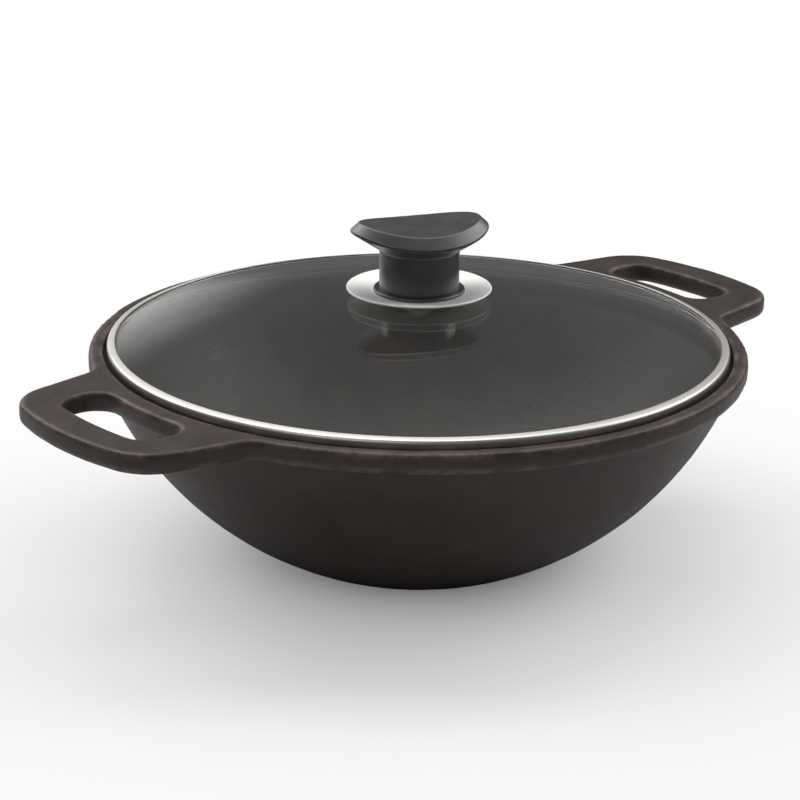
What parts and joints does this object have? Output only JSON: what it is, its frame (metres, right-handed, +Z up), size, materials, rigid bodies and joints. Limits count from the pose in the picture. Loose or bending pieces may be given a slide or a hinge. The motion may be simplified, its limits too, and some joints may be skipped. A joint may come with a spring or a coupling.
{
  "type": "kadai",
  "caption": "Round-bottomed cast-iron cooking bowl with a flat base, two loop handles and a domed glass lid with a steel band and a saddle knob.",
  "frame": {"origin": "centre of the flat base, on the surface that the pan stands on", "axes": "+Z up along the bowl's axis, +X along the two handles, +Y across the bowl"},
  "size_m": [0.329, 0.254, 0.1313],
  "materials": {
    "iron": "matt, seasoned, fine cast grain",
    "glass": "clear tempered glass",
    "polished_steel": "polished stainless steel",
    "plain_steel": "plain stainless steel",
    "silicone": "soft matt silicone",
    "brass": "turned brass",
    "knob_plastic": "black moulded plastic, satin"
  },
  "bodies": {
    "pan": {"pan": "iron"},
    "lid": {"lid_glass": "glass", "lid_band": "polished_steel", "band_seal": "silicone", "upper_gasket": "silicone", "lower_gasket": "silicone", "knob_disc": "polished_steel", "clamp_washer": "plain_steel", "spring_washer": "plain_steel", "knob_screw": "plain_steel", "knob_insert": "brass", "knob": "knob_plastic"}
  },
  "joints": [
    {"name": "lid_lift", "type": "slide", "parent": "pan", "child": "lid", "axis": [0, 0, 1], "range_m": [0, 0.15]}
  ]
}
